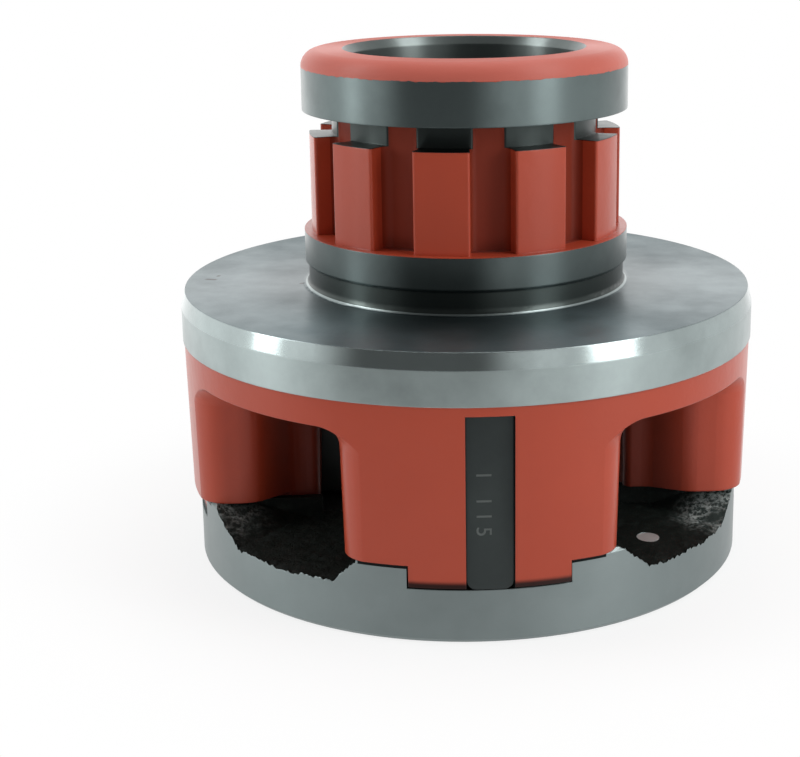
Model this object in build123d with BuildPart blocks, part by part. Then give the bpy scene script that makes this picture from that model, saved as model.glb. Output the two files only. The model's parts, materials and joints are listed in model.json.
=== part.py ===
import os
from math import cos, hypot, radians, sin, tan

from build123d import *

os.makedirs("parts", exist_ok=True)

# Heights, from the table up. The head stands on its cap plate, with the toothed hub on top.
land_height = 11.2  # cap plate's full thickness, under the posts' shoulders
window_height = 18.1  # from the posts' shoulders to the ceiling of the chip windows
rim_height = 3.9  # painted rim between the window ceiling and the flange
flange_height = 7.2
neck_height = 3.3
collar_height = 4.9
tooth_height = 14.3
groove_height = 3.4
ring_height = 6.2
crown_height = 2.5  # rounded top of the guide ring, above its turned face
crown_fall = 0.1  # how much the top falls from the lip to its rounded edge

# Radii of the head body
flange_radius = 42.5
flange_bevel = 0.6  # how far the flange's upper edge draws in
flange_bevel_height = 2.3
rim_setback = 0.2  # how far the painted rim lies inside the flange
neck_radius = 23.5
neck_fillet = 1.0
collar_radius = 24.0
collar_chamfer = 0.4
tooth_radius = 22.9
groove_radius = 19.6
valley_radius = 19.2
ring_radius = 23.9
lip_radius = 17.8
bore_radius = 17.0
bore_chamfer_height = 1.2
relief_depth = 1.6  # the bore is turned out wider by this much over the dies' ends
relief_margin = 0.4  # how far that wider stretch goes on above the die slots

# Drive teeth of the hub
tooth_count = 10
tooth_angle = 20.1  # how much of the circle one tooth's outer face takes
first_tooth_angle = -11.2  # from die 1's direction, turning towards die 2
tooth_rounding = 0.35  # on the teeth's upright edges
valley_fillet = 1.2

# Posts
die_count = 4
casting_draft = 1.3  # how much the posts narrow downwards, in degrees
wide_post_half_width = 18.7  # at the ceiling, front and back
slim_post_half_width = 16.4  # left and right
post_screw_half_width = 13.7  # the narrower inner part, on the cap screw's side
post_plain_half_width = 11.4  # and on the other side
post_inner_depth = 20.3  # from the rim inwards to the posts' inner ends
post_inner_radius = 1.5
post_root_depth = 16.6  # from the rim inwards to where the inner part starts
post_lobe_depth = 10.8  # from the rim inwards to where the full width ends
post_hollow_radius = 3.7
post_lobe_radius = 5.5
post_corner_radius = 5.2
post_turning_allowance = 0.05  # turned off the posts' outer faces
window_fillet = 3.3
tongue_half_width = 10.8
tongue_length = 3.0  # below the shoulders, into the cap plate's recess
slim_tongue_setback = 0.2  # the slim posts' tongues end this far inside the cap plate's edge

# Dies and their slots
die_thickness = 6.3
die_height = 24.1
die_setback = 1.7  # a die's outer end lies this far inside the flange's radius
die_offset = 0.85  # a die and its tongue stand this far to one side of the post's middle plane
die_bottom_radius = 1.4
die_side_clearance = 0.05
die_top_clearance = 0.1
die_bottom_clearance = 0.1

# Thread on the dies, for 1-inch taper pipe
thread_pitch = 2.209
thread_depth = 1.7
thread_flat = 0.25  # width of each crest and root
thread_tip_radius = 14.6  # at the dies' lower end
thread_taper = 0.03125  # growth of radius for each millimetre up
throat_height = 5.0  # the uppermost threads are bevelled to lead the pipe in
throat_depth = 2.0

# Cap plate
cap_setback = 1.7  # how far the plate's edge lies inside the flange's
cap_top_chamfer = 0.4
cap_bottom_chamfer = 0.6
throat_radius = 18.5
throat_chamfer = 1.0
recess_depth = 3.6
recess_clearance = 0.2
recess_wall = 1.4  # wall that each trough leaves beside a recess
recess_wall_drop = 0.4  # how far that wall's top lies under the lands
trough_depth = 4.1  # at the plate's edge
trough_tilt = 3.5  # the trough's floor falls towards the edge, in degrees
trough_turn = 2.75  # each trough lies this much, in degrees, past the middle between its posts
trough_wide_side = 9.1  # floor's edge towards a wide post, from the trough's middle line
trough_slim_side = 9.45  # floor's edge towards a slim post
trough_wide_slope = 4.6  # how far out each wall leans on its way up
trough_slim_slope = 7.6
trough_slope_spread = 0.7  # the troughs' walls towards the wide posts differ by this much either way

# Cap screws and index pin
screw_radius = 2.5
screw_head_radius = 4.25
screw_head_height = 4.0
screw_head_sink = 0.2  # how far a screw's head lies inside the plate's underside
screw_length = 16.0
screw_edge_distance = 6.8  # from the plate's radius inwards to a screw, along its post
screw_side = 6.4  # distance of a screw from its post's middle plane
screw_tip_chamfer = 0.5
screw_head_chamfer = 0.3
screw_clearance = 0.05
screw_head_clearance = 0.25
hex_socket_width = 4.0
hex_socket_depth = 2.2
tapped_hole_spare = 1.5
pin_radius = 1.6
pin_edge_distance = 6.7  # from the plate's edge inwards to the pin
pin_angle = 45.6
pin_length = 5.0

# Cuts that leave a piece go on past the head's edge by this much
overrun = 8.0

# An edge this close to a size counts as having it
nearness = 0.01

# Levels above the table, worked out from the heights
tongue_foot = land_height - tongue_length
window_top = land_height + window_height
flange_foot = window_top + rim_height
flange_top = flange_foot + flange_height
neck_top = flange_top + neck_height
collar_top = neck_top + collar_height
tooth_top = collar_top + tooth_height
ring_foot = tooth_top + groove_height
ring_top = ring_foot + ring_height
head_top = ring_top + crown_height
crown_edge = head_top - crown_fall
recess_floor = land_height - recess_depth
trough_floor = land_height - trough_depth
die_foot = recess_floor + die_bottom_clearance
die_top = die_foot + die_height
slot_top = die_top + die_top_clearance
relief_top = slot_top + relief_margin
screw_seat = screw_head_sink + screw_head_height
screw_top = screw_seat + screw_length
pin_foot = trough_floor + pin_edge_distance * tan(radians(trough_tilt)) - pin_length

# Distances from the axis, worked out from the flange's radius inwards
past_edge = flange_radius + overrun
rim_radius = flange_radius - rim_setback
cap_radius = flange_radius - cap_setback
die_outer_reach = flange_radius - die_setback
post_lobe_reach = rim_radius - post_lobe_depth
post_root_reach = rim_radius - post_root_depth
post_inner_reach = rim_radius - post_inner_depth
slim_tongue_radius = cap_radius - slim_tongue_setback
screw_reach = cap_radius - screw_edge_distance
pin_reach = cap_radius - pin_edge_distance

# Other sizes that follow from the driving ones
draft_slope = tan(radians(casting_draft))
post_radius = rim_radius - rim_height * draft_slope
post_foot_radius = rim_radius - (flange_foot - tongue_foot) * draft_slope
relief_radius = bore_radius + relief_depth
slot_width = die_thickness + 2 * die_side_clearance
recess_half_width = tongue_half_width + recess_clearance
valley_half_angle = (360 / tooth_count - tooth_angle) / 2
past_teeth = tooth_radius + overrun


def facing(angle):
    """Direction at an angle from die 1, turning towards die 2. Die 1 faces -Y and die 2 faces +X."""
    return Vector(sin(radians(angle)), -cos(radians(angle)), 0)


def sideways(angle):
    """Level direction square to facing(angle), on the side where the angle grows."""
    return facing(angle + 90)


def die_angle(number):
    return 360 / die_count * (number - 1)


def level_plane(angle, height, reach=0.0, side=0.0):
    """Level plane whose x runs outwards and whose y runs sideways."""
    origin = facing(angle) * reach + sideways(angle) * side + Vector(0, 0, height)
    return Plane(origin=origin, x_dir=facing(angle), z_dir=(0, 0, 1))


def standing_plane(angle, side=0.0):
    """Upright plane beside the axis: its x runs outwards and its y runs up."""
    return Plane(origin=sideways(angle) * side, x_dir=facing(angle), z_dir=-sideways(angle))


# Head body: the posts hang from an oversize disc, which is then turned to the rim's slight cone
with BuildPart() as head_body:
    with BuildSketch(Plane.XY.offset(window_top)):
        Circle(past_edge)
    extrude(amount=rim_height)
    with BuildSketch(Plane.XY.offset(window_top)):
        for number in range(1, die_count + 1):
            half_width = wide_post_half_width if number % 2 else slim_post_half_width
            with BuildSketch(level_plane(die_angle(number), window_top), mode=Mode.PRIVATE) as post:
                with BuildLine():
                    FilletPolyline(
                        (past_edge, -half_width),
                        (post_lobe_reach, -half_width),
                        (post_root_reach, -post_screw_half_width),
                        (post_inner_reach, -post_screw_half_width),
                        (post_inner_reach, post_plain_half_width),
                        (post_root_reach, post_plain_half_width),
                        (post_lobe_reach, half_width),
                        (past_edge, half_width),
                        radius=[
                            post_lobe_radius,
                            post_hollow_radius,
                            post_inner_radius,
                            post_inner_radius,
                            post_hollow_radius,
                            post_lobe_radius,
                        ],
                    )
                    Line((past_edge, half_width), (past_edge, -half_width))
                make_face()
                Circle(post_radius + post_turning_allowance, mode=Mode.INTERSECT)
                outer_corners = post.vertices().group_by(lambda v: v.center().length)[-1]
                fillet(outer_corners, radius=post_corner_radius)
            add(post.sketch)
    extrude(amount=-(window_top - tongue_foot), taper=casting_draft)
    ceiling_edges = head_body.edges().filter_by_position(Axis.Z, window_top, window_top).filter_by(
        lambda edge: edge.length < past_edge
    )
    fillet(ceiling_edges, radius=window_fillet)
    with BuildSketch(Plane.XZ):
        with BuildLine():
            Polyline(
                (0, tongue_foot),
                (post_foot_radius, tongue_foot),
                (rim_radius, flange_foot),
                (0, flange_foot),
                close=True,
            )
        make_face()
    revolve(axis=Axis.Z, mode=Mode.INTERSECT)

    # Flange, neck, collar, toothed hub and guide ring are one turned profile
    with BuildSketch(Plane.XZ):
        with BuildLine():
            Polyline(
                (0, flange_foot),
                (flange_radius, flange_foot),
                (flange_radius, flange_top - flange_bevel_height),
                (flange_radius - flange_bevel, flange_top),
                (neck_radius, flange_top),
                (neck_radius, neck_top),
                (collar_radius - collar_chamfer, neck_top),
                (collar_radius, neck_top + collar_chamfer),
                (collar_radius, collar_top),
                (tooth_radius, collar_top),
                (tooth_radius, tooth_top),
                (groove_radius, tooth_top),
                (groove_radius, ring_foot),
                (ring_radius, ring_foot),
                (ring_radius, crown_edge),
                (lip_radius, head_top),
                (0, head_top),
                close=True,
            )
        make_face()
    revolve(axis=Axis.Z)
    neck_foot = head_body.edges().filter_by(
        lambda edge: edge.geom_type == GeomType.CIRCLE
        and abs(edge.radius - neck_radius) < nearness
        and abs(edge.center().Z - flange_top) < nearness
    )
    fillet(neck_foot, radius=neck_fillet)
    crown_corner = head_body.edges().filter_by(
        lambda edge: edge.geom_type == GeomType.CIRCLE
        and abs(edge.radius - ring_radius) < nearness
        and abs(edge.center().Z - crown_edge) < nearness
    )
    fillet(crown_corner, radius=crown_edge - ring_top)

    # Shoulders: below them only the tongues go on down, into the cap plate's recesses
    with BuildSketch(Plane.XY.offset(land_height)):
        Circle(past_edge)
        for number in range(1, die_count + 1):
            with BuildSketch(level_plane(die_angle(number), land_height), mode=Mode.PRIVATE) as tongue:
                with Locations((past_edge / 2, die_offset)):
                    Rectangle(past_edge, 2 * tongue_half_width)
                if number % 2 == 0:
                    Circle(slim_tongue_radius, mode=Mode.INTERSECT)
            add(tongue.sketch, mode=Mode.SUBTRACT)
    extrude(amount=-tongue_length, mode=Mode.SUBTRACT)

    # Valleys between the drive teeth run up through the turned groove to the ring
    with BuildSketch(Plane.XY.offset(collar_top)):
        for number in range(tooth_count):
            angle = first_tooth_angle + (number + 0.5) * 360 / tooth_count
            with BuildSketch(level_plane(angle, collar_top), mode=Mode.PRIVATE) as valley:
                with BuildLine():
                    Polyline(
                        (valley_radius, -valley_radius * tan(radians(valley_half_angle))),
                        (past_teeth, -past_teeth * tan(radians(valley_half_angle))),
                        (past_teeth, past_teeth * tan(radians(valley_half_angle))),
                        (valley_radius, valley_radius * tan(radians(valley_half_angle))),
                        close=True,
                    )
                make_face()
                valley_floor = valley.vertices().group_by(lambda v: v.center().length)[0]
                fillet(valley_floor, radius=valley_fillet)
            add(valley.sketch)
    extrude(amount=ring_foot - collar_top, mode=Mode.SUBTRACT)
    tooth_edges = head_body.edges().filter_by(Axis.Z).filter_by(
        lambda edge: abs(edge.center().Z - (collar_top + tooth_top) / 2) < nearness
        and hypot(edge.center().X, edge.center().Y) > groove_radius
    )
    fillet(tooth_edges, radius=tooth_rounding)

    # Way for the pipe: wider over the dies' ends, and with a bevelled mouth
    with BuildSketch(Plane.XZ):
        with BuildLine():
            Polyline(
                (0, window_top),
                (relief_radius, window_top),
                (relief_radius, relief_top),
                (bore_radius, relief_top),
                (bore_radius, head_top - bore_chamfer_height),
                (lip_radius, head_top),
                (0, head_top),
                close=True,
            )
        make_face()
    revolve(axis=Axis.Z, mode=Mode.SUBTRACT)

    # Die slots, open downwards and outwards
    for number in range(1, die_count + 1):
        with BuildSketch(level_plane(die_angle(number), tongue_foot, side=die_offset)):
            with Locations((past_edge / 2, 0)):
                Rectangle(past_edge, slot_width)
        extrude(amount=slot_top - tongue_foot, mode=Mode.SUBTRACT)

    # Tapped holes for the cap screws, on the side of each post that the die leaves thicker
    for number in range(1, die_count + 1):
        with BuildSketch(level_plane(die_angle(number), tongue_foot, screw_reach, -screw_side)):
            Circle(screw_radius + screw_clearance)
        extrude(amount=screw_top + tapped_hole_spare - tongue_foot, mode=Mode.SUBTRACT)

# Cap plate: a turned disc with a bevelled throat, a recess for each die and four chip troughs
with BuildPart() as cap_plate:
    with BuildSketch(Plane.XZ):
        with BuildLine():
            Polyline(
                (throat_radius, throat_chamfer),
                (throat_radius + throat_chamfer, 0),
                (cap_radius - cap_bottom_chamfer, 0),
                (cap_radius, cap_bottom_chamfer),
                (cap_radius, land_height - cap_top_chamfer),
                (cap_radius - cap_top_chamfer, land_height),
                (throat_radius, land_height),
                close=True,
            )
        make_face()
    revolve(axis=Axis.Z)
    for number in range(1, die_count + 1):
        with BuildSketch(level_plane(die_angle(number), recess_floor)):
            with Locations((past_edge / 2, die_offset)):
                Rectangle(past_edge, 2 * recess_half_width)
        extrude(amount=recess_depth, mode=Mode.SUBTRACT)

    # Each trough leans wider towards the slim post beside it
    for number in range(1, die_count + 1):
        angle = die_angle(number) + 180 / die_count + trough_turn
        hand = 1 if number % 2 else -1  # the slim post lies where the angle grows, or the other way
        wide_slope = trough_wide_slope + hand * trough_slope_spread
        fall = radians(trough_tilt)
        outwards_and_down = facing(angle) * cos(fall) - Vector(0, 0, sin(fall))
        rim_point = facing(angle) * cap_radius + Vector(0, 0, trough_floor)
        mouth = Plane(
            origin=rim_point + outwards_and_down * trough_depth,
            x_dir=sideways(angle) * hand,
            z_dir=outwards_and_down * hand,
        )
        with BuildSketch(mouth):
            with BuildLine():
                Polyline(
                    (-trough_wide_side, 0),
                    (trough_slim_side, 0),
                    (trough_slim_side + 2 * trough_slim_slope, 2 * trough_depth),
                    (-trough_wide_side - 2 * wide_slope, 2 * trough_depth),
                    close=True,
                )
            make_face()
        extrude(amount=-hand * cap_radius, mode=Mode.SUBTRACT)

    # Walls between the recesses and the troughs, as long as the posts
    for number in range(1, die_count + 1):
        with BuildSketch(level_plane(die_angle(number), trough_floor)):
            with Locations(((post_inner_reach + past_edge) / 2, die_offset)):
                Rectangle(past_edge - post_inner_reach, 2 * (recess_half_width + recess_wall))
                Rectangle(past_edge - post_inner_reach, 2 * recess_half_width, mode=Mode.SUBTRACT)
            Circle(cap_radius - recess_wall, mode=Mode.INTERSECT)
        extrude(amount=trough_depth - recess_wall_drop)

    # Counterbored holes for the cap screws, from underneath
    for number in range(1, die_count + 1):
        with BuildSketch(level_plane(die_angle(number), 0, screw_reach, -screw_side)):
            Circle(screw_radius + screw_clearance)
        extrude(amount=land_height, mode=Mode.SUBTRACT)
        with BuildSketch(level_plane(die_angle(number), 0, screw_reach, -screw_side)):
            Circle(screw_head_radius + screw_head_clearance)
        extrude(amount=screw_seat, mode=Mode.SUBTRACT)

    # Blind hole for the index pin, in the first trough
    with BuildSketch(level_plane(pin_angle, pin_foot, pin_reach)):
        Circle(pin_radius)
    extrude(amount=land_height, mode=Mode.SUBTRACT)

# Dies: one profile with the thread along its inner end, seen from the side
thread_count = int(die_height // thread_pitch)
thread_flank = (thread_pitch - 2 * thread_flat) / 2
tip_at_top = thread_tip_radius + die_height * thread_taper

dies = []
for number in range(1, die_count + 1):
    with BuildPart() as die:
        with BuildSketch(standing_plane(die_angle(number), die_offset)):
            with BuildLine():
                outline = [(die_outer_reach, die_foot), (thread_tip_radius + thread_depth, die_foot)]
                for turn in range(thread_count):
                    thread_foot = (turn + (number - 1) / die_count) * thread_pitch + thread_flat
                    crest_radius = thread_tip_radius + thread_foot * thread_taper
                    crest_foot = thread_foot + thread_flank
                    outline += [
                        (crest_radius + thread_depth, die_foot + thread_foot),
                        (crest_radius, die_foot + crest_foot),
                        (crest_radius, die_foot + crest_foot + thread_flat),
                    ]
                outline += [(tip_at_top + thread_depth, die_top), (die_outer_reach, die_top)]
                Polyline(*outline, close=True)
            make_face()
            with BuildLine():
                Polyline(
                    (tip_at_top - thread_taper * throat_height, die_top - throat_height),
                    (tip_at_top + throat_depth, die_top),
                    (0, die_top),
                    (0, die_top - throat_height),
                    close=True,
                )
            make_face(mode=Mode.SUBTRACT)
        extrude(amount=die_thickness / 2, both=True)
        bottom_edges = die.edges().filter_by_position(Axis.Z, die_foot, die_foot).sort_by(Edge.length)[-2:]
        fillet(bottom_edges, radius=die_bottom_radius)
    die.part.label = f"die_{number}"
    dies.append(die.part)

# Cap screws: hexagon socket heads from underneath, through the plate into the posts
screws = []
for number in range(1, die_count + 1):
    with BuildPart() as screw:
        with BuildSketch(level_plane(die_angle(number), screw_head_sink, screw_reach, -screw_side)):
            Circle(screw_head_radius)
        extrude(amount=screw_head_height)
        chamfer(screw.edges().filter_by_position(Axis.Z, screw_head_sink, screw_head_sink), screw_head_chamfer)
        with BuildSketch(level_plane(die_angle(number), screw_seat, screw_reach, -screw_side)):
            Circle(screw_radius)
        extrude(amount=screw_length)
        chamfer(screw.edges().filter_by_position(Axis.Z, screw_top, screw_top), screw_tip_chamfer)
        with BuildSketch(level_plane(die_angle(number), screw_head_sink, screw_reach, -screw_side)):
            RegularPolygon(hex_socket_width / 2, 6, major_radius=False)
        extrude(amount=hex_socket_depth, mode=Mode.SUBTRACT)
    screw.part.label = f"cap_screw_{number}"
    screws.append(screw.part)

# Index pin: flush with the floor of the first trough
with BuildPart() as index_pin:
    with BuildSketch(level_plane(pin_angle, pin_foot, pin_reach)):
        Circle(pin_radius)
    extrude(amount=pin_length)

head_body.part.label = "head_body"
cap_plate.part.label = "cap_plate"
index_pin.part.label = "index_pin"
for piece in [head_body.part, cap_plate.part, index_pin.part, *dies, *screws]:
    export_step(piece, f"parts/{piece.label}.step")
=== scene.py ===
import json
import math

import bmesh
import bpy
from mathutils import Matrix, Vector, noise


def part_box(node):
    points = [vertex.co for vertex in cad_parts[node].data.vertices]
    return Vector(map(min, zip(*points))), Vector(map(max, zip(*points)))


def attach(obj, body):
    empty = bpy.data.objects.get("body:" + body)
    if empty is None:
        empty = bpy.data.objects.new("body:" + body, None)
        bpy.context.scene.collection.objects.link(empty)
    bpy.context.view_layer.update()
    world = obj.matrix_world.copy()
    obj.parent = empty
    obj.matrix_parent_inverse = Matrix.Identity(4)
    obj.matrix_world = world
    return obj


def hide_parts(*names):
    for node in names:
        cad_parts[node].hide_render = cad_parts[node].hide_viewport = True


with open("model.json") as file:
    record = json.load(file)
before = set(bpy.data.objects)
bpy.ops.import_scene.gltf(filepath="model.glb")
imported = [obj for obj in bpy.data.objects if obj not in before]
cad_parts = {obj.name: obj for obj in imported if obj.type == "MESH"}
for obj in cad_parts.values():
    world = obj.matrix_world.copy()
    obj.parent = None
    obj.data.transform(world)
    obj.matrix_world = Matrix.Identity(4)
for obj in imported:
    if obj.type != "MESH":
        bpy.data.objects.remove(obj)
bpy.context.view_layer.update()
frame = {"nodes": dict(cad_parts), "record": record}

mm = 0.001  # sizes below are in millimetres where they are multiplied by this
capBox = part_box("cap_plate")
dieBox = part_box("die_1")
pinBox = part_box("index_pin")
mounts = {mount["name"]: mount for mount in frame["record"]["mounts"]}


def mountEnds(name):
    # lower and upper end of a mount along the head's axis
    middle = mounts[name]["pos_m"][2]
    half = mounts[name]["dims"]["length_mm"] * mm / 2
    return middle - half, middle + half


collarFoot, collarTop = mountEnds("ratchet_collar")
ringFoot, ringTop = mountEnds("guide_ring")
flangeTop = mounts["flange_top"]["pos_m"][2]
boreRadius = mounts["pipe_guide"]["dims"]["r_mm"] * mm
postCount = 4  # each with a die and a cap screw, and a chip trough between it and the next

# Camera: a little to the left of the front die, looking down on the head
viewpoint = {
    "distance": 244.2 * mm,  # from the head's axis, level
    "height": 97.55 * mm,
    "turn": 2.8,  # degrees round the axis, towards -X
    "pitch": 13.43,  # degrees down
    "roll": -0.5,
    "lens": 74.84,
    "sensor": 36.0,
    "nearest": 10 * mm,  # nothing closer to the camera than this is drawn
    "shiftX": -0.0828,
    "shiftY": -0.1175,
}


def placeCamera():
    turn = math.radians(viewpoint["turn"])
    data = bpy.data.cameras.new("camera")
    data.lens = viewpoint["lens"]
    data.sensor_width = viewpoint["sensor"]
    data.shift_x = viewpoint["shiftX"]
    data.shift_y = viewpoint["shiftY"]
    data.clip_start = viewpoint["nearest"]
    camera = bpy.data.objects.new("camera", data)
    bpy.context.scene.collection.objects.link(camera)
    reach = viewpoint["distance"]
    camera.location = (-reach * math.sin(turn), -reach * math.cos(turn), viewpoint["height"])
    aim = Matrix.Rotation(-turn, 4, "Z") @ Matrix.Rotation(math.radians(90 - viewpoint["pitch"]), 4, "X")
    aim = aim @ Matrix.Rotation(math.radians(viewpoint["roll"]), 4, "Z")
    camera.rotation_euler = aim.to_euler()
    bpy.context.scene.camera = camera


# Studio: pale floor, two upright soft boxes, one overhead, and pale walls.
# Metal also mirrors a dark opening in the walls, which runs from the floor in front up over the head.
# A bearing is in degrees from -Y, growing towards +X.
studio = {
    "floorColour": (0.93, 0.93, 0.93, 1),
    "floorRadius": 6.0,
    "floorSides": 64,
    "floorRoughness": 0.8,
    "floorGloss": 0.1,
    "plainFrom": 42 * mm,  # past this distance the floor turns to plain white,
    "plainPast": 84 * mm,  # and is all white past this one
    "shadowLift": 0.8,  # how much of that white the floor has beside the head
    "ambient": 0.34,
    "lean": 0.12,  # how much brighter the even light is on the right
    "walls": 1.40,
    "rightWalls": 0.76,  # the walls on the right are this much darker
    "rightFrom": (0.2, 0.8),
    "ceiling": 0.90,
    "ceilingFrom": (0.15, 0.6),  # sines of the heights where the walls end and the ceiling begins
    "opening": 0.16,
    "openingBearing": -21.0,
    "openingSides": (0.37, 0.76),  # sines of the angles where it is darkest and where it ends
    "openingBack": (-0.2, 0.1),
    "apron": (110 * mm, 230 * mm),  # metal sees a bright floor up to here, and the opening past here
    "apronTone": 1.0,
    "left": {"from": (-82.0, 10.0), "to": (-108.0, 58.0), "distance": 0.55, "wide": 0.12, "power": 1.0},
    "right": {"from": (51.0, 10.0), "to": (87.0, 66.0), "distance": 0.55, "wide": 0.17, "power": 1.32},
    "top": {"from": (160.0, 60.0), "to": (200.0, 80.0), "distance": 0.80, "wide": 0.50, "power": 1.6},
}


def bearingDirection(bearing):
    angle = math.radians(bearing)
    return Vector((math.sin(angle), -math.cos(angle), 0))


def towards(bearing, rise):
    rise = math.radians(rise)
    return bearingDirection(bearing) * math.cos(rise) + Vector((0, 0, math.sin(rise)))


def softBox(name):
    # a lamp that reaches from one bearing and rise to another, and faces the head
    box = studio[name]
    low = towards(*box["from"]) * box["distance"]
    high = towards(*box["to"]) * box["distance"]
    data = bpy.data.lights.new(name, "AREA")
    data.shape = "RECTANGLE"
    data.size = box["wide"]
    data.size_y = max(box["wide"], (high - low).length)
    data.energy = box["power"]
    lamp = bpy.data.objects.new(name, data)
    bpy.context.scene.collection.objects.link(lamp)
    lamp.location = (low + high) / 2
    back = lamp.location.normalized()
    along = (high - low).normalized()
    axes = Matrix((along.cross(back), along, back)).transposed()
    lamp.rotation_euler = axes.to_euler()


def easeBetween(tree, value, low, high, first, second):
    made = addNode(
        tree, "ShaderNodeMapRange", {0: value, 1: low, 2: high, 3: first, 4: second},
        interpolation_type="SMOOTHSTEP",
    )
    return made.outputs[0]


def alongAxis(tree, direction, axis):
    made = addNode(tree, "ShaderNodeVectorMath", {0: direction, 1: axis}, operation="DOT_PRODUCT")
    return made.outputs["Value"]


def leaning(tree, direction):
    return calculate(tree, "MULTIPLY_ADD", alongAxis(tree, direction, (1, 0, 0)), studio["lean"], 1.0)


def mirroredTone(tree, direction):
    # what polished metal sees that way: the walls, or the opening between them
    forwards = bearingDirection(studio["openingBearing"])
    sideways = bearingDirection(studio["openingBearing"] + 90)
    aside = calculate(tree, "ABSOLUTE", alongAxis(tree, direction, sideways))
    beside = easeBetween(tree, aside, *studio["openingSides"], 1.0, 0.0)
    ahead = easeBetween(tree, alongAxis(tree, direction, forwards), *studio["openingBack"], 0.0, 1.0)
    height = alongAxis(tree, direction, (0, 0, 1))
    walls = easeBetween(tree, height, *studio["ceilingFrom"], studio["walls"], studio["ceiling"])
    right = alongAxis(tree, direction, (1, 0, 0))
    walls = both(tree, walls, easeBetween(tree, right, *studio["rightFrom"], 1.0, studio["rightWalls"]))
    return mixValue(tree, both(tree, beside, ahead), walls, studio["opening"])


def buildSurroundings():
    world = bpy.data.worlds.new("surroundings")
    bpy.context.scene.world = world
    world.use_nodes = True
    tree = world.node_tree
    tree.nodes.clear()
    direction = addNode(tree, "ShaderNodeTexCoord").outputs["Generated"]
    path = addNode(tree, "ShaderNodeLightPath").outputs
    ambient = calculate(tree, "MULTIPLY", leaning(tree, direction), studio["ambient"])
    mirrored = either(tree, path["Is Glossy Ray"], path["Is Transmission Ray"])
    strength = mixValue(tree, mirrored, ambient, mirroredTone(tree, direction))
    strength = mixValue(tree, path["Is Camera Ray"], strength, 1.0)
    glow = addNode(tree, "ShaderNodeBackground", {"Color": (1, 1, 1, 1), "Strength": strength})
    out = addNode(tree, "ShaderNodeOutputWorld")
    tree.links.new(glow.outputs[0], out.inputs["Surface"])


def floorMaterial():
    material, tree, shader = newMaterial("paleFloor")
    shader.inputs["Base Color"].default_value = studio["floorColour"]
    shader.inputs["Roughness"].default_value = studio["floorRoughness"]
    shader.inputs["Specular IOR Level"].default_value = studio["floorGloss"]
    place, _, radius = objectPlace(tree)
    plain = easeBetween(tree, radius, studio["plainFrom"], studio["plainPast"], 0.0, 1.0)
    outwards = addNode(tree, "ShaderNodeVectorMath", {0: place["Object"]}, operation="NORMALIZE")
    path = addNode(tree, "ShaderNodeLightPath").outputs
    mirrored = either(tree, path["Is Glossy Ray"], path["Is Transmission Ray"])
    apron = easeBetween(tree, radius, *studio["apron"], 1.0, 0.0)
    strength = mixValue(tree, apron, mirroredTone(tree, outwards.outputs[0]), studio["apronTone"])
    strength = mixValue(tree, mirrored, 1.0, strength)
    white = addNode(tree, "ShaderNodeEmission", {"Color": (1, 1, 1, 1), "Strength": strength})
    seen = either(tree, path["Is Camera Ray"], mirrored)
    share = both(tree, seen, mixValue(tree, plain, studio["shadowLift"], 1.0))
    mixed = addNode(tree, "ShaderNodeMixShader", {0: share, 1: shader.outputs[0], 2: white.outputs[0]})
    out = tree.nodes["Material Output"]
    tree.links.new(mixed.outputs[0], out.inputs["Surface"])
    return material


def buildStudio():
    for name in ("left", "right", "top"):
        softBox(name)
    buildSurroundings()
    mesh = bmesh.new()
    bmesh.ops.create_circle(
        mesh, cap_ends=True, segments=studio["floorSides"], radius=studio["floorRadius"]
    )
    newObject("floor", mesh, [floorMaterial()])


# Small helpers for meshes and node trees
def newObject(name, mesh, materials):
    data = bpy.data.meshes.new(name)
    mesh.to_mesh(data)
    mesh.free()
    for material in materials:
        data.materials.append(material)
    made = bpy.data.objects.new(name, data)
    bpy.context.scene.collection.objects.link(made)
    return made


def addNode(tree, kind, inputs=None, **settings):
    made = tree.nodes.new(kind)
    for key, value in settings.items():
        setattr(made, key, value)
    for key, value in (inputs or {}).items():
        if isinstance(value, bpy.types.NodeSocket):
            tree.links.new(value, made.inputs[key])
        else:
            made.inputs[key].default_value = value
    return made


def calculate(tree, operation, first, second=0.0, third=0.0):
    made = addNode(tree, "ShaderNodeMath", {0: first, 1: second, 2: third}, operation=operation)
    return made.outputs[0]


def either(tree, *masks):
    total = masks[0]
    for mask in masks[1:]:
        total = calculate(tree, "MAXIMUM", total, mask)
    return total


def both(tree, *masks):
    total = masks[0]
    for mask in masks[1:]:
        total = calculate(tree, "MULTIPLY", total, mask)
    return total


def above(tree, value, limit):
    return calculate(tree, "GREATER_THAN", value, limit)


def below(tree, value, limit):
    return calculate(tree, "LESS_THAN", value, limit)


def between(tree, value, low, high):
    return both(tree, above(tree, value, low), below(tree, value, high))


def newMaterial(name):
    material = bpy.data.materials.new(name)
    material.use_nodes = True
    tree = material.node_tree
    tree.nodes.clear()
    out = addNode(tree, "ShaderNodeOutputMaterial")
    shader = addNode(tree, "ShaderNodeBsdfPrincipled")
    tree.links.new(shader.outputs[0], out.inputs["Surface"])
    return material, tree, shader


def objectPlace(tree):
    place = addNode(tree, "ShaderNodeTexCoord")
    axes = addNode(tree, "ShaderNodeSeparateXYZ", {0: place.outputs["Object"]}).outputs
    flat = addNode(tree, "ShaderNodeCombineXYZ", {0: axes[0], 1: axes[1], 2: 0.0})
    radius = addNode(tree, "ShaderNodeVectorMath", {0: flat.outputs[0]}, operation="LENGTH")
    return place.outputs, axes, radius.outputs["Value"]


def mixColour(tree, factor, first, second):
    made = addNode(tree, "ShaderNodeMix", {"Factor": factor, 6: first, 7: second}, data_type="RGBA")
    return made.outputs[2]


def mixValue(tree, factor, first, second):
    return addNode(tree, "ShaderNodeMix", {"Factor": factor, 2: first, 3: second}).outputs[0]


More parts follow.
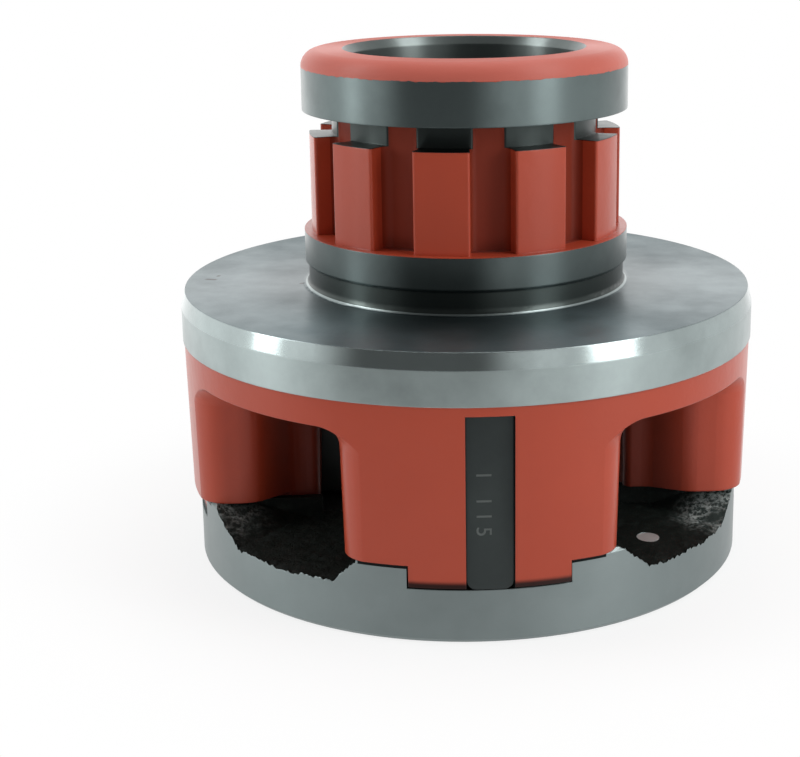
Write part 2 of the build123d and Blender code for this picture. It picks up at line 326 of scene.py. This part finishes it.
def scaled(tree, colour, amount):
    made = addNode(tree, "ShaderNodeVectorMath", {0: colour, "Scale": amount}, operation="SCALE")
    return made.outputs[0]


def grain(tree, vector, scale, detail=3.0, roughness=0.55):
    # a noise: how fine it is, how many finer layers lie over it and how much those show
    made = addNode(
        tree,
        "ShaderNodeTexNoise",
        {"Vector": vector, "Scale": scale, "Detail": detail, "Roughness": roughness},
    )
    return made.outputs["Fac"]


def patches(tree, place, grains, limits):
    # a noise whose middle is stretched, so that it runs from 0 below the limits to 1 above them
    value = grain(tree, place["Object"], *grains)
    low, high = limits
    made = addNode(tree, "ShaderNodeMapRange", {0: value, 1: low, 2: high, 3: 0.0, 4: 1.0})
    return made.outputs[0]


def turningLines(tree, axes, radius, across, along):
    # rings on a level face and level lines round a cylinder, as a lathe tool leaves them
    rings = addNode(
        tree,
        "ShaderNodeCombineXYZ",
        {0: calculate(tree, "MULTIPLY", radius, across), 2: calculate(tree, "MULTIPLY", axes[2], along)},
    )
    return grain(tree, rings.outputs[0], scale=1.0, detail=4.0, roughness=0.7)


def asTurned(shader, amount):
    # a lathe's fine grooves run round the axis, so the gloss spreads across them: a quarter turn
    shader.inputs["Anisotropic"].default_value = amount
    shader.inputs["Anisotropic Rotation"].default_value = 0.25


def addRelief(tree, shader, height, strength, depth=1.0 * mm, edgeRadius=None):
    # bumps, on edges that shade as rounded where they have a radius
    inputs = {"Strength": strength, "Distance": depth, "Height": height}
    if edgeRadius:
        rounded = addNode(tree, "ShaderNodeBevel", {"Radius": edgeRadius}, samples=4)
        inputs["Normal"] = rounded.outputs[0]
    bump = addNode(tree, "ShaderNodeBump", inputs)
    tree.links.new(bump.outputs[0], shader.inputs["Normal"])


# Enamelled casting, turned bare on its flange, collar, ring and bore
casting = {
    "paint": (0.455, 0.064, 0.028, 1),
    "paintShade": (0.38, 0.051, 0.023, 1),
    "paintRoughness": 0.24,
    "blotches": (60.0, 4.0),  # the paint's clouds, as grain takes them
    "blotchRoughness": 0.12,
    "gloss": 0.34,
    "peel": 420.0,  # how fine the paint's bumps are
    "peelHeight": 0.08,
    "crown": (0.50, 0.115, 0.083, 1),  # dull paint on top of the ring, paler as a painted sheen on its upward face
    "crownRoughness": 0.5,
    "inside": 0.33,  # painted shade: how dark the paint is made inside the chip windows
    "insideRoughness": 0.7,
    "insideFrom": (30 * mm, 38 * mm),
    "valley": 0.56,  # painted shade in the valleys between the teeth
    "valleyRadius": 20.6 * mm,
    "foot": 0.05,  # painted shade at the lower ends of the tongues
    "footFrom": (8.6 * mm, 9.4 * mm),
    "flange": (0.355, 0.412, 0.408, 1),
    # painted reflection: the flange's level top is a darker copy of the same turned metal
    "top": (0.146, 0.193, 0.205, 1),
    # painted shade and reflection: the turned zones below are darker copies of the flange's metal
    "collar": (0.098, 0.119, 0.118, 1),
    "ring": (0.132, 0.163, 0.162, 1),
    "groove": (0.05, 0.06, 0.058, 1),
    "neck": (0.055, 0.066, 0.063, 1),
    "bore": (0.16, 0.185, 0.18, 1),
    "slot": (0.03, 0.034, 0.034, 1),
    "stain": 0.80,  # how dark the darkest clouds on bare metal are
    "stains": (110.0, 5.0, 0.6),
    "stainLimits": (0.35, 0.7),
    "stainRoughness": 0.10,
    "sideRoughness": 0.30,
    "bevelRoughness": 0.14,
    "topRoughness": 0.30,
    "hubShade": 0.66,  # how much darker the flange's top is towards the hub
    "hubReach": (25 * mm, 36 * mm),
    "turned": 0.8,
    "lines": (5200.0, 4200.0),  # how close the turning lines are, across level faces and up the sides
    "lineHeight": 0.012,
    "relief": 0.6,
    "nicks": (  # marks struck into the flange's top: middle, half length, bearing of their length
        ((-38.4 * mm, 1.75 * mm), 0.95 * mm, 73.0),
        ((-37.5 * mm, 4.0 * mm), 0.28 * mm, 73.0),
        ((-24.6 * mm, -2.0 * mm), 0.35 * mm, 70.0),
    ),
    "nickHalfWidth": 0.48 * mm,
    "nickEdge": (0.6, 1.2),  # the shares of its half length and half width where a nick fades out
    "nickShade": 0.08,
    "flangeFoot": flangeTop - 7.15 * mm,
    "neckLine": flangeTop + 0.3 * mm,
    "collarMargins": (0.35 * mm, 0.05 * mm),  # the collar's metal goes on below and above it
    "toothTop": ringFoot - 3.45 * mm,
    "grooveRadius": 19.45 * mm,
    "ringMargin": 0.02 * mm,  # and the ring's starts this much above its foot
    "boreEdge": boreRadius + 0.8 * mm,
    "reliefTop": 32.6 * mm,
    "reliefRadius": boreRadius + 1.7 * mm,
    "postFoot": 12.0 * mm,
    "slotOffset": (dieBox[0].x + dieBox[1].x) / 2,
    "slotHalfWidth": 3.22 * mm,
    "slotTop": 31.95 * mm,
    "levelFrom": 0.9,  # faces whose normals rise this much are level
    "bevelSlopes": (0.15, 0.6),  # and between these they are the flange's bevel
    "edgeRadius": 0.3 * mm,
    "edgeGrains": 900.0,
    "edgeWaver": 0.45 * mm,  # how unevenly the paint ends on the ring
}


def bareZones(tree, place, axes, radius):
    # where the casting is bare metal, and which of its turned faces each place belongs to
    x, y, z = axes
    rise = addNode(tree, "ShaderNodeSeparateXYZ", {0: place["Normal"]}).outputs[2]
    waver = grain(tree, place["Object"], casting["edgeGrains"])
    waver = calculate(tree, "MULTIPLY_ADD", waver, casting["edgeWaver"], -casting["edgeWaver"] / 2)
    collarStart = collarFoot - casting["collarMargins"][0]
    collarEnd = collarTop + casting["collarMargins"][1]
    ringStart = ringFoot + casting["ringMargin"]
    outside = above(tree, radius, casting["boreEdge"])
    flange = both(tree, between(tree, z, casting["flangeFoot"], casting["neckLine"]), outside)
    neck = both(tree, between(tree, z, casting["neckLine"], collarStart), outside)
    collar = both(tree, between(tree, z, collarStart, collarEnd), outside)
    pastGroove = above(tree, radius, casting["grooveRadius"])
    groove = both(tree, between(tree, z, casting["toothTop"], ringStart), pastGroove)
    underPaint = below(tree, calculate(tree, "ADD", z, waver), ringTop)
    ring = both(tree, above(tree, z, ringStart), underPaint, outside)
    bore = below(tree, radius, casting["boreEdge"])
    relief = below(tree, radius, casting["reliefRadius"])
    relief = both(tree, relief, below(tree, z, casting["reliefTop"]))
    foot = both(tree, below(tree, z, casting["postFoot"]), below(tree, rise, -casting["levelFrom"]))
    slots = []
    for along, across, hand in ((y, x, 1.0), (x, y, -1.0)):
        side = calculate(tree, "MULTIPLY", calculate(tree, "SIGN", along), hand)
        middle = calculate(tree, "MULTIPLY_ADD", side, casting["slotOffset"], across)
        slots.append(below(tree, calculate(tree, "ABSOLUTE", middle), casting["slotHalfWidth"]))
    slot = both(tree, either(tree, *slots), below(tree, z, casting["slotTop"]))
    bare = either(tree, flange, neck, collar, groove, ring, bore, relief, foot, slot)
    level = both(tree, above(tree, rise, casting["levelFrom"]), flange)
    bevel = both(tree, between(tree, rise, *casting["bevelSlopes"]), flange)
    # the zones painted darker, for shade and dimmer reflection
    darker = {
        "neck": neck, "collar": collar, "groove": groove, "ring": ring, "bore": bore, "slot": slot,
    }
    return bare, darker, level, bevel


def nickMask(tree, place):
    marks = []
    for middle, half, bearing in casting["nicks"]:
        along = bearingDirection(bearing)
        across = bearingDirection(bearing + 90)
        sides = []
        for direction, reach in ((along, half), (across, casting["nickHalfWidth"])):
            offset = direction.xy.dot(Vector(middle))
            away = calculate(tree, "SUBTRACT", alongAxis(tree, place["Object"], direction), offset)
            away = calculate(tree, "ABSOLUTE", away)
            full, end = (share * reach for share in casting["nickEdge"])
            sides.append(easeBetween(tree, away, full, end, 1.0, 0.0))
        marks.append(both(tree, *sides))
    return either(tree, *marks)


def paintShading(tree, axes, radius):
    # painted shade: the paint is darkened inside the windows, between the teeth and where the tongues
    # end, and is made duller there
    inside = easeBetween(tree, radius, *casting["insideFrom"], casting["inside"], 1.0)
    inside = mixValue(tree, below(tree, axes[2], casting["flangeFoot"]), 1.0, inside)
    valleys = both(
        tree,
        below(tree, radius, casting["valleyRadius"]),
        between(tree, axes[2], collarTop, ringFoot),
    )
    footPaintedShade = easeBetween(tree, axes[2], *casting["footFrom"], casting["foot"], 1.0)
    dull = either(tree, calculate(tree, "SUBTRACT", 1.0, both(tree, inside, footPaintedShade)), valleys)
    return both(tree, inside, mixValue(tree, valleys, 1.0, casting["valley"]), footPaintedShade), dull


def castingMaterial():
    material, tree, shader = newMaterial("enamelledCasting")
    place, axes, radius = objectPlace(tree)
    bare, darker, level, bevel = bareZones(tree, place, axes, radius)

    blotch = grain(tree, place["Object"], *casting["blotches"])
    paint = mixColour(tree, blotch, casting["paint"], casting["paintShade"])
    # painted sheen: the top of the ring gets a paler paint
    crown = above(tree, axes[2], ringTop)
    paint = mixColour(tree, crown, paint, casting["crown"])
    shading, dull = paintShading(tree, axes, radius)
    paint = scaled(tree, paint, shading)
    # painted reflection and shade: the flange's top and the other turned zones get darker copies of its
    # metal
    metal = mixColour(tree, level, casting["flange"], casting["top"])
    for zone, mask in darker.items():
        metal = mixColour(tree, mask, metal, casting[zone])
    stain = patches(tree, place, casting["stains"], casting["stainLimits"])
    hubShade = easeBetween(tree, radius, *casting["hubReach"], casting["hubShade"], 1.0)
    struck = both(tree, nickMask(tree, place), level)
    shade = both(
        tree,
        mixValue(tree, stain, 1.0, casting["stain"]),
        mixValue(tree, level, 1.0, hubShade),
        mixValue(tree, struck, 1.0, casting["nickShade"]),
    )
    metal = scaled(tree, metal, shade)
    tree.links.new(mixColour(tree, bare, paint, metal), shader.inputs["Base Color"])
    tree.links.new(bare, shader.inputs["Metallic"])

    metalRoughness = mixValue(tree, level, casting["sideRoughness"], casting["topRoughness"])
    metalRoughness = mixValue(tree, bevel, metalRoughness, casting["bevelRoughness"])
    metalRoughness = calculate(tree, "MULTIPLY_ADD", stain, casting["stainRoughness"], metalRoughness)
    paintRoughness = calculate(
        tree, "MULTIPLY_ADD", blotch, casting["blotchRoughness"], casting["paintRoughness"]
    )
    paintRoughness = mixValue(tree, dull, paintRoughness, casting["insideRoughness"])
    paintRoughness = mixValue(tree, crown, paintRoughness, casting["crownRoughness"])
    tree.links.new(mixValue(tree, bare, paintRoughness, metalRoughness), shader.inputs["Roughness"])
    asTurned(shader, casting["turned"])
    shader.inputs["Specular IOR Level"].default_value = casting["gloss"]

    lines = turningLines(tree, axes, radius, *casting["lines"])
    lines = calculate(tree, "MULTIPLY", lines, casting["lineHeight"])
    peel = grain(tree, place["Object"], casting["peel"])
    peel = calculate(tree, "MULTIPLY", peel, casting["peelHeight"])
    height = mixValue(tree, bare, peel, lines)
    addRelief(tree, shader, height, casting["relief"], edgeRadius=casting["edgeRadius"])
    return material


# Cap plate: turned grey iron
plateIron = {
    "light": (0.236, 0.274, 0.274, 1),
    "dark": (0.176, 0.208, 0.208, 1),
    "clouds": (90.0, 5.0, 0.6),
    "cloudRoughness": 0.12,
    "roughness": 0.38,
    "turned": 0.6,
    "lines": (3000.0, 2600.0),
    "lineHeight": 0.02,
    "relief": 0.5,
    "edgeRadius": 0.2 * mm,
    "seam": 0.05,  # painted shadow: how dark the plate is just under the posts' overhang
    "seamDepth": 0.85 * mm,
    "seamHalfWidths": (16.6 * mm, 14.6 * mm),  # under the front and back posts, and under the others
}


def plateMaterial():
    material, tree, shader = newMaterial("turnedIron")
    place, axes, radius = objectPlace(tree)
    cloud = grain(tree, place["Object"], *plateIron["clouds"])
    iron = mixColour(tree, cloud, plateIron["light"], plateIron["dark"])
    # painted shadow along the top of the plate, under the posts
    under = [
        below(tree, calculate(tree, "ABSOLUTE", axes[side]), halfWidth)
        for side, halfWidth in enumerate(plateIron["seamHalfWidths"])
    ]
    nearTop = above(tree, axes[2], capBox[1].z - plateIron["seamDepth"])
    seam = both(tree, either(tree, *under), nearTop)
    iron = scaled(tree, iron, mixValue(tree, seam, 1.0, plateIron["seam"]))
    tree.links.new(iron, shader.inputs["Base Color"])
    shader.inputs["Metallic"].default_value = 1.0
    roughness = calculate(
        tree, "MULTIPLY_ADD", cloud, plateIron["cloudRoughness"], plateIron["roughness"]
    )
    tree.links.new(roughness, shader.inputs["Roughness"])
    asTurned(shader, plateIron["turned"])
    lines = turningLines(tree, axes, radius, *plateIron["lines"])
    height = calculate(tree, "MULTIPLY", lines, plateIron["lineHeight"])
    addRelief(tree, shader, height, plateIron["relief"], edgeRadius=plateIron["edgeRadius"])
    return material


# Chip troughs: black skin of the casting
castSkin = {
    "deep": (0.0062, 0.0088, 0.0074, 1),
    "worn": (0.015, 0.022, 0.019, 1),
    # lighter skin on the scuffed slopes, partly a painted highlight
    "thin": (0.044, 0.060, 0.056, 1),
    "scuffed": (0.52, 0.58, 0.56, 1),  # scuffed skin with painted glints, on the slopes towards the slim posts
    "scuffedFrom": (1.35, 2.1),  # distance to the side over distance ahead, where the scuffs begin
    "scuffedReach": (32 * mm, 38 * mm),
    "scuffedLeft": 0.5,  # painted glints: how much fainter they are on the left
    "wear": ((700.0, 4.0, 0.6), (0.52, 0.75)),  # noise and limits, as patches takes them
    "streaks": ((1300.0, 4.0, 0.65), (0.44, 0.62)),
    "streakGroups": ((320.0, 3.0), (0.32, 0.56)),
    "roughness": 0.62,
    "streakRoughness": 0.3,
    "gloss": 0.12,
    "pits": (1500.0, 6.0, 0.7),
    "pitRelief": 0.9,
    "pitDepth": 0.25 * mm,
}


def castSkinMaterial():
    material, tree, shader = newMaterial("blackCastSkin")
    place, axes, radius = objectPlace(tree)
    wear = patches(tree, place, *castSkin["wear"])
    skin = mixColour(tree, wear, castSkin["deep"], castSkin["worn"])
    aside = calculate(
        tree, "DIVIDE", calculate(tree, "ABSOLUTE", axes[0]), calculate(tree, "ABSOLUTE", axes[1])
    )
    scuffed = both(
        tree,
        easeBetween(tree, aside, *castSkin["scuffedFrom"], 0.0, 1.0),
        easeBetween(tree, radius, *castSkin["scuffedReach"], 0.0, 1.0),
        mixValue(tree, above(tree, axes[0], 0.0), castSkin["scuffedLeft"], 1.0),
    )
    # painted glints: bright streaks on the scuffed slopes
    streaks = both(
        tree,
        scuffed,
        patches(tree, place, *castSkin["streaks"]),
        patches(tree, place, *castSkin["streakGroups"]),
    )
    skin = mixColour(tree, scuffed, skin, castSkin["thin"])
    tree.links.new(mixColour(tree, streaks, skin, castSkin["scuffed"]), shader.inputs["Base Color"])
    roughness = mixValue(tree, streaks, castSkin["roughness"], castSkin["streakRoughness"])
    tree.links.new(roughness, shader.inputs["Roughness"])
    shader.inputs["Specular IOR Level"].default_value = castSkin["gloss"]
    pits = grain(tree, place["Object"], *castSkin["pits"])
    addRelief(tree, shader, pits, castSkin["pitRelief"], depth=castSkin["pitDepth"])
    return material


# Dies: dark hardened steel, ground along their height
dieSteel = {
    "light": (0.036, 0.045, 0.044, 1),
    "dark": (0.020, 0.026, 0.026, 1),
    "clouds": (160.0, 5.0, 0.6),
    "metallic": 0.55,
    "roughness": 0.34,
    "cloudRoughness": 0.2,
    "scratchScale": (3500.0, 3500.0, 60.0),  # close together to the sides, and long upright
    "scratches": (1.0, 3.0, 0.6),
    "scratchHeight": 0.02,
    "relief": 0.5,
    "edgeRadius": 0.25 * mm,
}


def dieMaterial():
    material, tree, shader = newMaterial("dieSteel")
    place = objectPlace(tree)[0]
    cloud = grain(tree, place["Object"], *dieSteel["clouds"])
    colour = mixColour(tree, cloud, dieSteel["light"], dieSteel["dark"])
    tree.links.new(colour, shader.inputs["Base Color"])
    shader.inputs["Metallic"].default_value = dieSteel["metallic"]
    roughness = calculate(tree, "MULTIPLY_ADD", cloud, dieSteel["cloudRoughness"], dieSteel["roughness"])
    tree.links.new(roughness, shader.inputs["Roughness"])
    stretch = addNode(
        tree, "ShaderNodeMapping", {"Vector": place["Object"], "Scale": dieSteel["scratchScale"]}
    )
    scratches = grain(tree, stretch.outputs[0], *dieSteel["scratches"])
    height = calculate(tree, "MULTIPLY", scratches, dieSteel["scratchHeight"])
    addRelief(tree, shader, height, dieSteel["relief"], edgeRadius=dieSteel["edgeRadius"])
    return material


# Screws, pin and etched figures: plain steel, a little cloudy
screwSteel = {"colour": (0.03, 0.03, 0.03, 1), "metallic": 0.6, "roughness": 0.35}
pinSteel = {"colour": (0.60, 0.58, 0.57, 1), "metallic": 0.3, "roughness": 0.4}
etchedSteel = {"colour": (0.11, 0.125, 0.12, 1), "metallic": 0.3, "roughness": 0.5}
steelClouds = {
    "grains": (700.0, 4.0, 0.6),
    "shade": 0.7,  # how dark the darkest clouds are
    "roughness": 0.2,
}


def plainSteel(name, steel):
    material, tree, shader = newMaterial(name)
    place = objectPlace(tree)[0]
    cloud = grain(tree, place["Object"], *steelClouds["grains"])
    darker = tuple(steelClouds["shade"] * part for part in steel["colour"][:3]) + (1,)
    tree.links.new(mixColour(tree, cloud, steel["colour"], darker), shader.inputs["Base Color"])
    shader.inputs["Metallic"].default_value = steel["metallic"]
    roughness = calculate(tree, "MULTIPLY_ADD", cloud, steelClouds["roughness"], steel["roughness"])
    tree.links.new(roughness, shader.inputs["Roughness"])
    return material


# Cap plate with rough troughs: the same plate, its trough faces cut fine and roughened
plate = {
    "cell": 0.5 * mm,
    "roughness": 0.30 * mm,
    "rimRoughness": 0.6 * mm,
    "landRoughness": 0.40 * mm,
    "grainSize": 0.7 * mm,
    "coarseness": 0.35,  # how close the large bumps are, against the small ones,
    "fineShift": (7.1, 3.3, 1.7),  # which lie in another part of the noise
    "rimGrains": (2.0 * mm, 0.5 * mm),  # the rim has long waves and small teeth
    "shares": (0.5, 0.8),  # of the large and of the small bumps
    "wallFoot": 6.0 * mm,  # upright faces that start above this level are the recesses' walls
    "throat": 19 * mm,  # faces that reach further in than this belong to the plate's hole
    "troughFrom": 14 * mm,  # the troughs lie between this distance from the axis and the plate's edge
    "troughStart": 0.25,  # no trough face's middle lies closer than this share of the plate's radius
    "troughHalfWidth": 26 * mm,
    "troughMargin": 1 * mm,
    "pinClear": 2.3 * mm,
    "pinFade": 3.0 * mm,
    "nearEdge": 0.5 * mm,  # faces this near to the plate's edge belong to its side
    "recessMargin": 1 * mm,  # and the recesses end this far inside it
    "sunkBy": 0.1 * mm,  # the recesses' floors lie at least this much under the lands
    "upright": 0.02,  # how much the normals of walls rise at most,
    "sloping": 0.3,  # those of troughs at least,
    "level": 0.9993,  # those of level faces at least,
    "landLevel": 0.9999,  # and those of the lands at least
    "joined": 0.001 * mm,  # corners this close are one
    "onLand": 0.01 * mm,
    "flatWithin": 0.3,  # degrees between faces that become one
    "smoothBelow": 35.0,  # degrees between faces that still shade as one
}
ironIndex, troughIndex, recessIndex = 0, 1, 2  # the order of the plate's materials


def smoothByAngle(mesh, degrees):
    for face in mesh.faces:
        face.smooth = True
    for edge in mesh.edges:
        edge.smooth = len(edge.link_faces) == 2 and edge.calc_face_angle(0.0) < math.radians(degrees)


def bumps(coarse, fine):
    return plate["shares"][0] * noise.noise(coarse) + plate["shares"][1] * noise.noise(fine)


def troughRoughness(point):
    grains = point / plate["grainSize"]
    return bumps(grains * plate["coarseness"], grains + Vector(plate["fineShift"]))


def rimRoughness(point):
    wave, tooth = plate["rimGrains"]
    return bumps(point / wave, point / tooth)


def onPlateSide(face):
    return face.material_index == ironIndex and abs(face.normal.z) < plate["upright"]


def cutTroughsFine(mesh, plateRadius):
    half = plate["troughHalfWidth"]
    for quarter in range(postCount):
        outwards = bearingDirection(45 + 90 * quarter)
        sideways = bearingDirection(135 + 90 * quarter)
        reaches = ((outwards, plate["troughFrom"], plateRadius), (sideways, -half, half))
        for direction, low, high in reaches:
            for step in range(int((high - low) / plate["cell"])):
                faces = [
                    face for face in mesh.faces
                    if face.material_index == troughIndex
                    and face.calc_center_median().dot(outwards) > plateRadius * plate["troughStart"]
                    and abs(face.calc_center_median().dot(sideways)) < half + plate["troughMargin"]
                ]
                edges = {edge for face in faces for edge in face.edges}
                corners = {vertex for face in faces for vertex in face.verts}
                bmesh.ops.bisect_plane(
                    mesh,
                    geom=faces + list(edges | corners),
                    dist=plate["joined"],
                    plane_co=direction * (low + (step + 0.5) * plate["cell"]),
                    plane_no=direction,
                )


def roughenTroughs(mesh, plateTop):
    rim = [
        edge for edge in mesh.edges
        if any(onPlateSide(face) for face in edge.link_faces)
        and any(face.material_index == troughIndex for face in edge.link_faces)
    ]
    bmesh.ops.subdivide_edges(mesh, edges=rim, cuts=1)
    pinPlace = (pinBox[0] + pinBox[1]) / 2
    moves = []
    for vertex in mesh.verts:
        rough = [face for face in vertex.link_faces if face.material_index == troughIndex]
        if not rough:
            continue
        plain = [face for face in vertex.link_faces if face.material_index == ironIndex]
        fromPin = (vertex.co.xy - pinPlace.xy).length
        fade = min(1.0, max(0.0, (fromPin - plate["pinClear"]) / plate["pinFade"]))
        amount = troughRoughness(vertex.co) * fade
        onTop = abs(vertex.co.z - plateTop) < plate["onLand"]
        if not plain:
            moves.append((vertex, Vector((0, 0, amount * plate["roughness"]))))
        elif all(onPlateSide(face) for face in plain):
            rise = rimRoughness(vertex.co) * fade * plate["rimRoughness"]
            moves.append((vertex, Vector((0, 0, rise))))
        elif onTop and all(face.normal.z > plate["landLevel"] for face in plain):
            lean = Vector((rough[0].normal.x, rough[0].normal.y, 0)).normalized()
            moves.append((vertex, lean * amount * plate["landRoughness"]))
    for vertex, move in moves:
        vertex.co += move


def straightenSide(data, plateRadius):
    # the turned side shades as a true cylinder, whatever the cuts in its rim
    normals = [Vector((0, 0, 0))] * len(data.loops)
    for face in data.polygons:
        if onPlateSide(face) and face.center.xy.length > plateRadius - plate["nearEdge"]:
            for loop in face.loop_indices:
                corner = data.vertices[data.loops[loop].vertex_index].co
                normals[loop] = Vector((corner.x, corner.y, 0)).normalized()
    data.normals_split_custom_set(normals)


def sortFaces(mesh, plateTop, plateRadius):
    # black skin covers the troughs' slopes, and the floors and walls of the recesses
    for face in mesh.faces:
        nearest = min(math.hypot(corner.co.x, corner.co.y) for corner in face.verts)
        heights = [corner.co.z for corner in face.verts]
        rise = face.normal.z
        sunk = rise > plate["level"] and max(heights) < plateTop - plate["sunkBy"]
        wall = abs(rise) < plate["upright"] and min(heights) > plate["wallFoot"]
        if plate["sloping"] < rise < plate["level"] and nearest < plateRadius - plate["nearEdge"]:
            face.material_index = troughIndex
        elif (sunk or wall) and plate["throat"] < nearest < plateRadius - plate["recessMargin"]:
            face.material_index = recessIndex
        else:
            face.material_index = ironIndex


def buildCapPlate():
    source = frame["nodes"]["cap_plate"]
    mesh = bmesh.new()
    mesh.from_mesh(source.data)
    bmesh.ops.remove_doubles(mesh, verts=mesh.verts, dist=plate["joined"])
    flat = math.radians(plate["flatWithin"])
    bmesh.ops.dissolve_limit(mesh, angle_limit=flat, verts=mesh.verts, edges=mesh.edges)
    plateTop = capBox[1].z
    plateRadius = capBox[1].x
    sortFaces(mesh, plateTop, plateRadius)
    cutTroughsFine(mesh, plateRadius)
    print("cap plate cut fine,", len(mesh.faces), "faces")
    roughenTroughs(mesh, plateTop)
    bmesh.ops.triangulate(mesh, faces=[face for face in mesh.faces if len(face.verts) > 4])
    smoothByAngle(mesh, plate["smoothBelow"])
    skin = castSkinMaterial()
    made = newObject("cap_plate_cast", mesh, [plateMaterial(), skin, skin])
    straightenSide(made.data, plateRadius)
    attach(made, "head")
    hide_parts("cap_plate")
    print("cap plate roughened")


# Numbers etched on the dies' outer ends: plain figures, read downwards
numbers = {
    "size": 2.9 * mm,
    "depth": 0.01 * mm,
    "top": 24.3 * mm,
    "aside": -0.9 * mm,  # from the die's middle
    "spacing": 1.45,
    "second": "115",
}


def dieNumber(number):
    curve = bpy.data.curves.new("number", "FONT")
    curve.body = f"{number} " + numbers["second"]
    curve.size = numbers["size"]
    curve.space_character = numbers["spacing"]
    curve.align_x = "LEFT"
    curve.align_y = "CENTER"
    curve.extrude = numbers["depth"]
    text = bpy.data.objects.new("text", curve)
    bpy.context.scene.collection.objects.link(text)
    bpy.context.view_layer.update()
    data = bpy.data.meshes.new_from_object(text)
    bpy.data.objects.remove(text)
    upright = Matrix.Rotation(math.radians(90), 4, "X") @ Matrix.Rotation(math.radians(-90), 4, "Z")
    middle = (dieBox[0].x + dieBox[1].x) / 2
    place = Matrix.Translation((middle + numbers["aside"], dieBox[0].y, numbers["top"]))
    data.transform(Matrix.Rotation(math.radians(90 * (number - 1)), 4, "Z") @ place @ upright)
    name = f"die_{number}_figures"
    data.name = name
    made = bpy.data.objects.new(name, data)
    bpy.context.scene.collection.objects.link(made)
    data.materials.clear()
    data.materials.append(bpy.data.materials["etchedFigures"])
    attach(made, f"die_{number}")


placeCamera()
buildStudio()
print("camera and studio placed")

castingFinish = castingMaterial()
dieFinish = dieMaterial()
screwFinish = plainSteel("blackScrewSteel", screwSteel)
pinFinish = plainSteel("groundPinSteel", pinSteel)
plainSteel("etchedFigures", etchedSteel)
finishes = {"head_body": castingFinish, "index_pin": pinFinish}
for number in range(1, postCount + 1):
    finishes[f"die_{number}"] = dieFinish
    finishes[f"cap_screw_{number}"] = screwFinish
for nodeName, finish in finishes.items():
    node = frame["nodes"][nodeName]
    node.data.materials.clear()
    node.data.materials.append(finish)
print("CAD nodes finished")

buildCapPlate()
for number in range(1, postCount + 1):
    dieNumber(number)
print("figures etched")

scene = bpy.context.scene
scene.view_settings.view_transform = "Standard"
